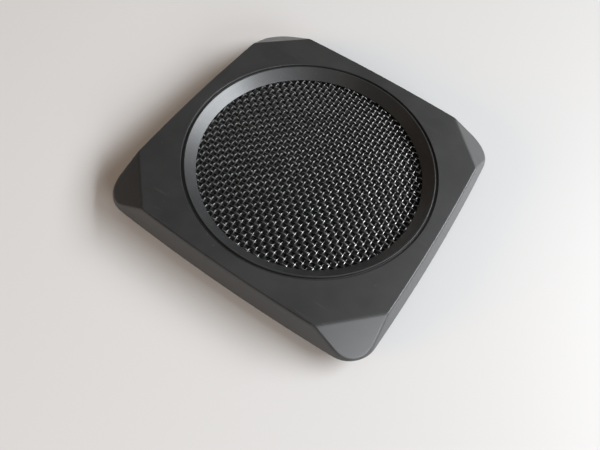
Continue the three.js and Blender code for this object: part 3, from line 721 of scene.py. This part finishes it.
def terminal_board():
    low, high = (float(corner[2]) for corner in box_mm("terminal_board"))
    body = moved(block("terminal_board_panel", rectangle(18, 7.5, 0.8), low, high, 0.06), (0, BOARD_Y, 0))
    tools = []
    for side in (-1, 1):
        tools.append(hole(STAKE_X * side, BOARD_Y, 0.85, low, high, 0.05))
        tools.append(hole(BLADE_X * side, RIVET_Y, RIVET_HOLE_R, low, high, 0.05))
        tools.append(bar("slot", (1.8, 1.1, 4), (BLADE_X * side, TAIL_Y, 2), 0.05, 0.2))
    return carve(body, tools)


def terminal(name, x):
    """Push-on blade with a pointed tip and a locking hole, and its upright soldering tail."""
    sheet, back, half, tip_half, point = 0.5, 0.55, 1.4, 0.9, 0.8
    end = RIVET_Y + 1.5
    outline = [
        (x - half, end),
        (x - half, BLADE_TIP_Y + point),
        (x - tip_half, BLADE_TIP_Y),
        (x + tip_half, BLADE_TIP_Y),
        (x + half, BLADE_TIP_Y + point),
        (x + half, end),
    ]
    body = block(name, eased(outline, 0.25), back, back + sheet, 0.1)
    tail = bar("tail", (1.4, sheet, 4.25), (x, TAIL_Y, back + 2.125), 0.08, 0.08)
    join(body, [tail])
    rivet_hole = hole(x, RIVET_Y, RIVET_HOLE_R, back, back + sheet, 0.05)
    latch_hole = hole(x, BLADE_TIP_Y + 2.9, 0.55, back, back + sheet, 0.08)
    return carve(body, [rivet_hole, latch_hole])


def rivet(name, x):
    """Rivet with a wide round head under the board."""
    corners = [(0, 0.2), (0.75, 0.22), (1.2, 0.5), (0.6, 0.5), (0.6, 2.13), (0, 2.13)]
    return moved(lathe(name, corners, 0.1, 40), (x, RIVET_Y, 0))


def coil_tag(name, x):
    """Solder tag with a domed blob of solder."""
    body = bar(name, (2.2, 2.6, 0.3), (0, 0, 0.15), 0.06, 0.4)
    blob = lathe("solder", [(0, 0.1), (0.75, 0.1), (0.8, 0.28), (0.45, 0.5), (0, 0.58)], 0.25, 32)
    return moved(join(body, [blob]), (x, TAG_Y, TAG_Z))


def capacitor():
    """Film capacitor with a dipped, rounded case."""
    half = CAPACITOR_SIZE / 2
    radius = 0.75
    tilts = np.radians([-89.5, -70, -50, -30, -12, -3, 3, 12, 30, 50, 70, 89.5])
    turns = np.radians([q + step for q in SIDES for step in (2, 15, 35, 55, 75, 88)])
    rows = []
    for tilt in tilts:
        flat, up = np.cos(tilt), np.full(len(turns), math.sin(tilt))
        normal = np.stack([flat * np.cos(turns), flat * np.sin(turns), up], axis=1)
        rows.append(np.sign(normal) * (half - radius) + radius * normal)
    vertices = np.concatenate(rows)
    made = make_object("series_capacitor_case", vertices, capped_faces(len(rows), len(turns)))
    return moved(made, (*polar(CAPACITOR_R, CAPACITOR_ANGLE), CAPACITOR_Z), turn=CAPACITOR_ANGLE)


def before_capacitor(side, distance):
    """Point at a distance in front of the capacitor's near end, to one side of its middle."""
    x, y = polar(CAPACITOR_R + CAPACITOR_LEG_OFFSET * side, CAPACITOR_ANGLE)
    away_x, away_y = polar(CAPACITOR_SIZE[1] / 2 + distance, CAPACITOR_ANGLE - 90)
    return x + away_x, y + away_y, CAPACITOR_Z


def leads():
    """The routes of the two insulated leads and the capacitor's bare lead."""
    tag_top, tail_top = 5.0, 4.8
    x = BLADE_X
    negative = [
        (-x, TAG_Y, tag_top + 0.4),
        (-x, TAG_Y - 1.4, tag_top + 0.9),
        (-x, TAIL_Y + 0.95, tag_top + 0.5),
        (-x, TAIL_Y + 0.75, tail_top - 0.6),
    ]
    positive = [
        (x, TAG_Y, tag_top + 0.4),
        (x + 2.6, TAG_Y - 0.6, tag_top + 0.8),
        (x + 8.4, TAG_Y - 0.4, tag_top + 0.6),
        before_capacitor(-1, LEG_RUN),
        before_capacitor(-1, LEG_SUNK),
    ]
    bare = [
        (x + 0.3, TAIL_Y - 0.65, tail_top - 0.5),
        (x + 4, TAIL_Y - 1.3, tail_top - 0.3),
        (x + 9.6, TAIL_Y - 0.6, tail_top - 0.1),
        before_capacitor(1, LEG_RUN),
        before_capacitor(1, LEG_SUNK),
    ]
    return (
        sweep("negative_lead_wire", smooth_path(negative, 10), circle(0.4), side=(1, 0, 0)),
        sweep("positive_lead_wire", smooth_path(positive, 12), circle(0.4)),
        sweep("capacitor_lead_wire", smooth_path(bare, 12), circle(0.3)),
    )


# ------------------------------------------------------------------ materials


class Shade:
    """A material built node by node round one Principled shader."""

    def __init__(self, name, color, roughness, metallic=0.0, **sockets):
        self.material = bpy.data.materials.new(name)
        self.material.use_nodes = True
        self.tree = self.material.node_tree
        self.shader = self.tree.nodes["Principled BSDF"]
        self.shader.inputs["Base Color"].default_value = (*color, 1)
        self.shader.inputs["Roughness"].default_value = roughness
        self.shader.inputs["Metallic"].default_value = metallic
        for socket, value in sockets.items():
            self.shader.inputs[socket.replace("_", " ")].default_value = value
        self.place = self.node("ShaderNodeTexCoord").outputs["Object"]
        self.normal = None

    def node(self, kind, inputs=None, **settings):
        made = self.tree.nodes.new(kind)
        for key, value in settings.items():
            setattr(made, key, value)
        for key, value in (inputs or {}).items():
            if isinstance(value, bpy.types.NodeSocket):
                self.tree.links.new(value, made.inputs[key])
            else:
                made.inputs[key].default_value = value
        return made

    def noise(self, size, detail=3.0, roughness=0.6, stretch=None, turn=0.0):
        """Noise whose features are about size metres across, drawn out by a stretch along X, Y and Z."""
        place = self.place
        if stretch:
            inputs = {"Vector": place, "Rotation": (0, 0, turn), "Scale": stretch}
            place = self.node("ShaderNodeMapping", inputs).outputs["Vector"]
        inputs = {"Vector": place, "Scale": 1 / size, "Detail": detail, "Roughness": roughness}
        return self.node("ShaderNodeTexNoise", inputs).outputs["Fac"]

    def cells(self, size):
        inputs = {"Vector": self.place, "Scale": 1 / size}
        return self.node("ShaderNodeTexVoronoi", inputs).outputs["Distance"]

    def waves(self, period, kind="BANDS", direction="X", distortion=0.0):
        """Parallel or round ridges, one every period metres."""
        settings = {"wave_type": kind, f"{kind.lower()}_direction": direction}
        inputs = {"Vector": self.place, "Scale": math.pi / (10 * period), "Distortion": distortion}
        return self.node("ShaderNodeTexWave", inputs, **settings).outputs["Fac"]

    def math(self, operation, first, second):
        return self.node("ShaderNodeMath", {0: first, 1: second}, operation=operation).outputs["Value"]

    def weave(self, period):
        return self.math("MULTIPLY", self.waves(period, direction="X"), self.waves(period, direction="Y"))

    def spread(self, value, low, high, to_low, to_high):
        inputs = {"Value": value, "From Min": low, "From Max": high, "To Min": to_low, "To Max": to_high}
        return self.node("ShaderNodeMapRange", inputs).outputs["Result"]

    def mix(self, factor, first, second):
        made = self.node("ShaderNodeMix", {"Factor": factor}, data_type="RGBA")
        for socket, value in ((made.inputs[6], first), (made.inputs[7], second)):
            if isinstance(value, bpy.types.NodeSocket):
                self.tree.links.new(value, socket)
            else:
                socket.default_value = (*value, 1)
        return made.outputs[2]

    def drive(self, socket, value):
        self.tree.links.new(value, self.shader.inputs[socket])

    def color(self, value):
        self.drive("Base Color", value)

    def roughness(self, value):
        self.drive("Roughness", value)

    def bump(self, height, distance, strength=1.0):
        """Adds relief, its height in metres, over any that is already there."""
        inputs = {"Height": height, "Distance": distance, "Strength": strength}
        if self.normal:
            inputs["Normal"] = self.normal
        self.normal = self.node("ShaderNodeBump", inputs).outputs["Normal"]
        self.drive("Normal", self.normal)


def grey(level, warm=0.0):
    return (level * (1 + warm), level, level * (1 - warm))


def bezel_plastic():
    """Satin black-grey plastic: spark-eroded grain, soft clouding, a few rubbed streaks and dust specks."""
    coat = {"Coat_Weight": 0.6, "Coat_Roughness": 0.35, "Coat_IOR": 1.6}
    shade = Shade("bezel_plastic", grey(0.02), 0.5, IOR=1.5, **coat)
    cloud = shade.noise(0.016, 3)
    tone = shade.mix(shade.spread(cloud, 0.35, 0.65, 0, 1), grey(0.014, -0.01), grey(0.02, 0.01))
    streak = shade.noise(0.0016, 2, stretch=(0.12, 1.6, 1), turn=0.6)
    rubbed = shade.spread(streak, 0.66, 0.74, 0, 0.35)
    speck = shade.spread(shade.cells(0.0032), 0.05, 0.085, 0.3, 0)
    tone = shade.mix(rubbed, tone, grey(0.045))
    shade.color(shade.mix(speck, tone, grey(0.1, 0.04)))
    shade.roughness(shade.spread(cloud, 0.3, 0.7, 0.46, 0.54))
    shade.bump(shade.noise(0.0011, 2), 0.00002, 0.5)
    shade.bump(shade.noise(0.00028, 2), 0.000012, 0.6)
    return shade.material


def wire_paint():
    """Thin black paint over steel wire with a cloudy worn tone, lighter on the crowns of the weave as a
    painted highlight and dark in its valleys as painted shade.
    """
    shade = Shade("wire_paint", grey(0.3), 0.26, 1.0)
    worn = shade.noise(0.0035, 4)
    rubbed = shade.mix(shade.spread(worn, 0.35, 0.65, 0, 1), (0.26, 0.255, 0.25), (0.4, 0.39, 0.385))
    # Painted light: the colour follows the wire's height, from painted shade in the valleys to a painted
    # highlight on the crowns.
    height = shade.node("ShaderNodeSeparateXYZ", {"Vector": shade.place}).outputs["Z"]
    crown = shade.spread(height, (SEAT_Z - 0.7) * MM, (SEAT_Z - 0.2) * MM, 0, 1)
    shade.color(shade.mix(crown, (0.05, 0.048, 0.046), rubbed))
    shade.roughness(shade.spread(shade.noise(0.0009, 3), 0.3, 0.7, 0.32, 0.44))
    shade.bump(shade.noise(0.0003, 2), 0.00001, 0.5)
    return shade.material


def scrim_cloth():
    shade = Shade("scrim_cloth", grey(0.006), 0.95, Sheen_Weight=0.15)
    threads = shade.weave(0.00035)
    shade.color(shade.mix(threads, grey(0.002), grey(0.012, 0.05)))
    shade.bump(threads, 0.00008, 0.8)
    return shade.material


def black_coat():
    """Electrocoated pressed steel: slightly pebbled semi-gloss black."""
    shade = Shade("black_coat", grey(0.02), 0.38, IOR=1.5)
    cloud = shade.noise(0.006, 4)
    shade.color(shade.mix(cloud, grey(0.014), grey(0.026)))
    shade.roughness(shade.spread(cloud, 0.3, 0.7, 0.3, 0.48))
    shade.bump(shade.noise(0.0006, 2), 0.00001, 0.5)
    return shade.material


def glass_filled_plastic():
    """Matt black moulding with faint fibre flow lines and a coarse eroded grain."""
    shade = Shade("glass_filled_plastic", grey(0.02), 0.58, IOR=1.48)
    flow = shade.noise(0.004, 4, stretch=(0.25, 1, 1), turn=0.4)
    shade.color(shade.mix(shade.spread(flow, 0.35, 0.65, 0, 1), grey(0.014, -0.02), grey(0.026, 0.02)))
    shade.roughness(shade.spread(flow, 0.3, 0.7, 0.5, 0.68))
    shade.bump(shade.noise(0.0004, 3), 0.00002, 0.6)
    return shade.material


def faceplate_plastic():
    shade = Shade("faceplate_plastic", grey(0.015), 0.5, IOR=1.5)
    cloud = shade.noise(0.008, 3)
    shade.color(shade.mix(cloud, grey(0.011), grey(0.019)))
    shade.roughness(shade.spread(cloud, 0.3, 0.7, 0.42, 0.58))
    shade.bump(shade.noise(0.00025, 2), 0.000012, 0.6)
    return shade.material


def gasket_foam():
    """Closed-cell foam with cut cells showing on its faces."""
    shade = Shade("gasket_foam", grey(0.014), 0.92)
    pores = shade.cells(0.0005)
    shade.color(shade.mix(shade.spread(pores, 0, 0.6, 0, 1), grey(0.022), grey(0.008)))
    shade.bump(pores, 0.00009, 0.9)
    return shade.material


def felt():
    shade = Shade("felt", grey(0.02), 1.0, Sheen_Weight=0.4)
    fibres = shade.noise(0.0004, 5, 0.7, stretch=(0.3, 1, 1), turn=0.7)
    shade.color(shade.mix(shade.spread(fibres, 0.35, 0.65, 0, 1), grey(0.01), grey(0.035, 0.03)))
    shade.bump(fibres, 0.0001, 1.0)
    return shade.material


def plated_steel(name, tone, roughness, turning=0.0, tint=(1.0, 1.0, 1.0)):
    """Plated metal: cloudy tone, fine scratches and, where it was turned, round tool marks."""
    shade = Shade(name, grey(tone), roughness, 1.0)
    cloud = shade.noise(0.004, 4)
    dull = [0.8 * tone * c for c in tint]
    bright = [min(1.1 * tone * c, 1) for c in tint]
    shade.color(shade.mix(shade.spread(cloud, 0.35, 0.65, 0, 1), dull, bright))
    scratch = shade.noise(0.0006, 3, stretch=(0.08, 1, 1), turn=0.9)
    shade.roughness(shade.spread(scratch, 0.35, 0.7, roughness - 0.08, roughness + 0.14))
    shade.bump(scratch, 0.000006, 0.5)
    if turning:
        shade.bump(shade.waves(turning, "RINGS", "Z", 0.6), 0.000006, 0.6)
    return shade.material


def rubber():
    shade = Shade("surround_rubber", grey(0.012), 0.72, Sheen_Weight=0.1)
    bloom = shade.noise(0.003, 4)
    shade.color(shade.mix(shade.spread(bloom, 0.4, 0.7, 0, 1), grey(0.008), grey(0.02, 0.02)))
    shade.roughness(shade.spread(bloom, 0.3, 0.7, 0.6, 0.82))
    shade.bump(shade.noise(0.0003, 2), 0.00001, 0.5)
    return shade.material


def dome_silk():
    """Fine silk under a tacky black coating."""
    shade = Shade("dome_silk", grey(0.016), 0.5, Sheen_Weight=0.25, Coat_Weight=0.25, Coat_Roughness=0.4)
    threads = shade.weave(0.0003)
    shade.color(shade.mix(threads, grey(0.008), grey(0.024, -0.03)))
    shade.roughness(shade.spread(shade.noise(0.002, 3), 0.3, 0.7, 0.42, 0.62))
    shade.bump(threads, 0.00005, 0.7)
    return shade.material


def former_film():
    shade = Shade("former_film", (0.4, 0.16, 0.03), 0.3, Coat_Weight=0.4, Coat_Roughness=0.15)
    shade.color(shade.mix(shade.noise(0.003, 3), (0.33, 0.12, 0.02), (0.46, 0.2, 0.04)))
    shade.bump(shade.waves(0.0002, "BANDS", "Z"), 0.000004, 0.5)
    return shade.material


def enamelled_copper():
    shade = Shade("enamelled_copper", (0.5, 0.16, 0.06), 0.28, 0.9, Coat_Weight=0.5, Coat_Roughness=0.2)
    shade.color(shade.mix(shade.noise(0.0008, 3), (0.4, 0.11, 0.04), (0.6, 0.21, 0.08)))
    shade.roughness(shade.spread(shade.noise(0.0003, 2), 0.3, 0.7, 0.22, 0.4))
    return shade.material


def fibre_board():
    """Laminated paper board: mottled brown with fine fibres."""
    shade = Shade("fibre_board", (0.26, 0.13, 0.05), 0.6)
    fibres = shade.noise(0.0008, 5, 0.7, stretch=(0.2, 1, 1))
    tone = shade.mix(shade.spread(fibres, 0.35, 0.65, 0, 1), (0.19, 0.085, 0.03), (0.32, 0.17, 0.07))
    shade.color(tone)
    shade.roughness(shade.spread(fibres, 0.3, 0.7, 0.5, 0.7))
    shade.bump(fibres, 0.00002, 0.5)
    return shade.material


def capacitor_epoxy():
    shade = Shade("capacitor_epoxy", (0.4, 0.2, 0.03), 0.32, Coat_Weight=0.5, Coat_Roughness=0.12)
    shade.color(shade.mix(shade.noise(0.002, 3), (0.34, 0.16, 0.02), (0.46, 0.25, 0.05)))
    shade.bump(shade.noise(0.0014, 2), 0.00005, 0.5)
    return shade.material


def insulation(name, dark, light):
    shade = Shade(name, light, 0.42, IOR=1.5)
    shade.color(shade.mix(shade.noise(0.0015, 3), dark, light))
    shade.roughness(shade.spread(shade.noise(0.0008, 2), 0.3, 0.7, 0.35, 0.55))
    shade.bump(shade.noise(0.0005, 2), 0.00001, 0.5)
    return shade.material


def give(made, material):
    made.data.materials.clear()
    made.data.materials.append(material)
    return made


# ------------------------------------------------------------------ camera, floor and light

# The camera stands this many half widths of the cover's flat face from its centre.
CAMERA_PLACE = (0.8427, -1.8471, 2.8182)
CAMERA_AIM = (0.2196, -0.4778, 0.0)
CAMERA_ROLL = math.radians(10.57)
CAMERA_LENS = 29.67
CAMERA_SENSOR = 36.0

FLOOR_HALF = 1500.0
FLOOR_COLOR = (0.615, 0.607, 0.597)

# Lights: angle and distance over the floor, height, size, power and colour.
WINDOW = (35, 1.4, 0.88, (1.5, 0.5), 48, (0.94, 0.98, 1.02))
DOORWAY = (-22, 0.9, 0.34, (0.45, 0.26), 5.0, (0.94, 0.98, 1.02))
LAMP = (-128, 1.6, 0.5, (0.7, 0.5), 13, (1.0, 0.62, 0.34))
ROOM_COLOR = (1.0, 0.97, 0.94)
ROOM_BRIGHT_SIDE = (0.25, 0.45, 0.86)


def facing(place, aim, roll=0.0):
    """The matrix of a camera or light at place that looks at aim."""
    place, aim = Vector(place), Vector(aim)
    turn = (aim - place).to_track_quat("-Z", "Y").to_matrix().to_4x4()
    return Matrix.Translation(place) @ turn @ Matrix.Rotation(roll, 4, "Z")


def add_camera():
    face = np.array([0, 0, TOP_Z])
    data = bpy.data.cameras.new("camera")
    data.lens = CAMERA_LENS
    data.sensor_width = CAMERA_SENSOR
    data.clip_start = 0.01
    camera = bpy.data.objects.new("camera", data)
    place, aim = ((face + TOP_HALF * np.array(point)) * MM for point in (CAMERA_PLACE, CAMERA_AIM))
    camera.matrix_world = facing(place, aim, CAMERA_ROLL)
    bpy.context.collection.objects.link(camera)
    bpy.context.scene.camera = camera


def add_floor():
    half = FLOOR_HALF
    corners = [(-half, -half, 0), (half, -half, 0), (half, half, 0), (-half, half, 0)]
    floor = make_object("floor", corners, [(0, 1, 2, 3)])
    paint = Shade("floor_paint", FLOOR_COLOR, 0.5)
    give(floor, paint.material)


def add_light(name, angle, distance, height, size, power, color):
    """A soft rectangular light that faces the object."""
    data = bpy.data.lights.new(name, "AREA")
    data.shape = "RECTANGLE"
    data.size, data.size_y = size
    data.energy = power
    data.color = color
    light = bpy.data.objects.new(name, data)
    light.matrix_world = facing((*polar(distance, angle), height), (0, 0, 0))
    bpy.context.collection.objects.link(light)
    return light


def add_room():
    """Room light that is bright overhead and behind, and dim low on the near side."""
    world = bpy.data.worlds.new("room")
    world.use_nodes = True
    tree = world.node_tree
    background = tree.nodes["Background"]
    background.inputs["Color"].default_value = (*ROOM_COLOR, 1)
    place = tree.nodes.new("ShaderNodeTexCoord")
    toward = tree.nodes.new("ShaderNodeVectorMath")
    toward.operation = "DOT_PRODUCT"
    toward.inputs[1].default_value = ROOM_BRIGHT_SIDE
    level = tree.nodes.new("ShaderNodeMapRange")
    for socket, value in {"From Min": -0.2, "From Max": 0.95, "To Min": 0.06, "To Max": 0.22}.items():
        level.inputs[socket].default_value = value
    tree.links.new(place.outputs["Generated"], toward.inputs[0])
    tree.links.new(toward.outputs["Value"], level.inputs["Value"])
    tree.links.new(level.outputs["Result"], background.inputs["Strength"])
    bpy.context.scene.world = world


# ------------------------------------------------------------------ assembly


def place_piece(made, material, node, body):
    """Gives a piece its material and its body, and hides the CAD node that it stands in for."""
    give(made, material)
    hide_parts(node)
    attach(made, body)
    return made


def build_cover():
    place_piece(cover_bezel(), bezel_plastic(), "cover_bezel", "cover")
    place_piece(woven_wires(), wire_paint(), "wire_mesh", "cover")
    cloth = place_piece(scrim(), scrim_cloth(), "acoustic_cloth", "cover")
    place_piece(retaining_ring(), black_coat(), "mesh_retaining_ring", "cover")
    zinc = plated_steel("screw_plating", 0.5, 0.3)
    spring = plated_steel("spring_strip", 0.34, 0.34, tint=(0.96, 1.0, 1.06))
    for number, angle in enumerate(DIAGONALS, 1):
        at = (*polar(RING_SCREW_D, angle), RING_BOTTOM_Z - FIT)
        made = screw(f"ring_screw_{number}_pan_head", 3.7, at)
        place_piece(made, zinc, f"ring_screw_{number}", "cover")
    for number, angle in enumerate(SIDES, 1):
        made = spring_clip(f"spring_clip_{number}_strip", angle)
        place_piece(made, spring, f"spring_clip_{number}", "cover")


def build_base():
    place_piece(mounting_frame(), glass_filled_plastic(), "mounting_frame", "base")
    gasket = place_piece(panel_gasket(), gasket_foam(), "panel_gasket", "base")
    zinc = plated_steel("zinc_plating", 0.56, 0.3, 0.0005, (1.0, 1.0, 0.97))
    place_piece(yoke(), zinc, "yoke_cup", "base")
    place_piece(disc("pole_plate_disc", "pole_plate"), zinc, "pole_plate", "base")
    nickel = plated_steel("nickel_plating", 0.62, 0.16, tint=(1.0, 0.99, 0.95))
    place_piece(disc("magnet_disc", "magnet", 0.2), nickel, "magnet", "base")
    pad = place_piece(disc("damping_pad_felt", "damping_pad", 0.25), felt(), "damping_pad", "base")
    place_piece(faceplate(), faceplate_plastic(), "driver_faceplate", "base")
    place_piece(surround(), rubber(), "surround", "base")
    screw_zinc = plated_steel("driver_screw_plating", 0.48, 0.32)
    for number, angle in enumerate(DRIVER_SCREW_ANGLES, 1):
        at = (*polar(DRIVER_SCREW_R, angle), HUB_Z + FIT)
        made = screw(f"driver_screw_{number}_pan_head", 3.3, at, upside_down=True)
        place_piece(made, screw_zinc, f"driver_screw_{number}", "base")


def build_terminals():
    place_piece(terminal_board(), fibre_board(), "terminal_board", "base")
    place_piece(capacitor(), capacitor_epoxy(), "series_capacitor", "base")
    tin = plated_steel("tin_plating", 0.6, 0.3, tint=(1.0, 0.96, 0.84))
    for side, x in (("positive", BLADE_X), ("negative", -BLADE_X)):
        place_piece(terminal(f"{side}_terminal_blade", x), tin, f"{side}_terminal", "base")
        place_piece(rivet(f"{side}_rivet_tube", x), tin, f"{side}_rivet", "base")
        place_piece(coil_tag(f"{side}_coil_tag_soldered", x), tin, f"{side}_coil_tag", "base")
    negative, positive, bare = leads()
    black = insulation("black_insulation", grey(0.008), grey(0.018))
    red = insulation("red_insulation", (0.26, 0.008, 0.006), (0.38, 0.018, 0.012))
    place_piece(negative, black, "negative_lead", "base")
    place_piece(positive, red, "positive_lead", "base")
    place_piece(bare, tin, "capacitor_lead", "base")


def build_diaphragm():
    place_piece(dome(), dome_silk(), "dome_diaphragm", "diaphragm")
    place_piece(former(), former_film(), "coil_former", "diaphragm")
    place_piece(winding(), enamelled_copper(), "voice_coil", "diaphragm")


add_camera()
add_floor()
add_light("window", *WINDOW)
add_light("doorway", *DOORWAY)
lamp = add_light("lamp", *LAMP)
lamp.visible_glossy = False
add_room()
bpy.context.scene.view_settings.view_transform = "Standard"

build_cover()
build_base()
build_terminals()
build_diaphragm()
